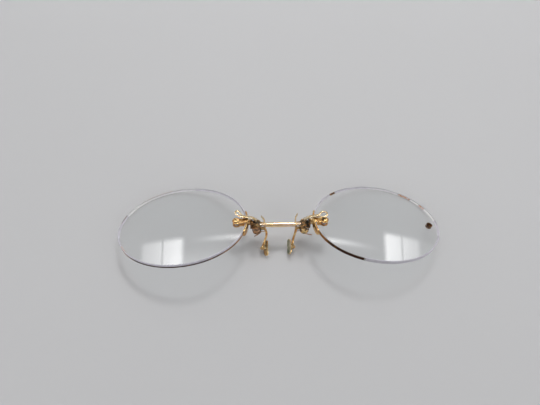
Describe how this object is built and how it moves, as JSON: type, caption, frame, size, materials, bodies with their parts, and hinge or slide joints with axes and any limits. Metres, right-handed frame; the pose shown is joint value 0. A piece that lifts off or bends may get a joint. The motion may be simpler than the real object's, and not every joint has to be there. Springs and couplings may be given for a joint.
{
  "type": "pince nez",
  "caption": "Rimless oval-lens pince nez with a straight bridge bar, sprung finger levers with wire loops, rocking nose pads and a cord hole.",
  "frame": {"origin": "middle of the footprint, on the surface that the pince nez lies on, front side up", "axes": "+X across the face towards the lens with the cord hole, +Y up the face, +Z out of the front of the lenses; the glasses lean back 16.4 degrees on their pads and upper lens edges"},
  "size_m": [0.1014, 0.0306, 0.0116],
  "materials": {
    "gold": "worn gold filled metal, warm and polished with dirt in the crevices",
    "pad_metal": "thin gold filled sheet, dull with verdigris on the nose side",
    "screw": "polished screw, darker in its slot",
    "spring_wire": "drawn spring wire, yellowed",
    "lens": "clear ground glass with grey and amber stained edges"
  },
  "bodies": {
    "frame": {"bridge_bar": "gold", "left_post": "gold", "right_post": "gold", "left_shoe": "gold", "right_shoe": "gold", "left_front_strap": "gold", "right_front_strap": "gold", "left_back_strap": "gold", "right_back_strap": "gold", "left_lens_screw": "screw", "right_lens_screw": "screw", "left_lens": "lens", "right_lens": "lens", "left_pivot_screw": "screw", "right_pivot_screw": "screw", "left_spring": "spring_wire", "right_spring": "spring_wire"},
    "left_lever": {"left_finger_lever": "gold", "left_guard_arm": "gold", "left_upper_guard": "gold"},
    "left_rocking_pad": {"left_pad": "pad_metal", "left_pad_rivet": "screw"},
    "right_lever": {"right_finger_lever": "gold", "right_guard_arm": "gold", "right_upper_guard": "gold"},
    "right_rocking_pad": {"right_pad": "pad_metal", "right_pad_rivet": "screw"}
  },
  "joints": [
    {"name": "left_lever_pivot", "type": "hinge", "parent": "frame", "child": "left_lever", "pos_m": [-0.0074, -0.00066, 0.0065], "axis": [0, 0.9594, -0.2821], "range_deg": [0, 30], "stiffness_Nm_per_rad": 0.02, "springref_deg": -17.19, "deforming": ["left_spring"]},
    {"name": "left_pad_rock", "type": "hinge", "parent": "left_lever", "child": "left_rocking_pad", "pos_m": [-0.0056, -0.00612, 0.00211], "axis": [0.4384, -0.2268, 0.8697], "range_deg": [-8, 8]},
    {"name": "right_lever_pivot", "type": "hinge", "parent": "frame", "child": "right_lever", "pos_m": [0.0074, -0.00066, 0.0065], "axis": [0, -0.9594, 0.2821], "range_deg": [0, 30], "stiffness_Nm_per_rad": 0.02, "springref_deg": -17.19, "deforming": ["right_spring"]},
    {"name": "right_pad_rock", "type": "hinge", "parent": "right_lever", "child": "right_rocking_pad", "pos_m": [0.004, -0.00574, 0.00164], "axis": [0.3746, -0.2339, 0.8972], "range_deg": [-8, 8]}
  ]
}
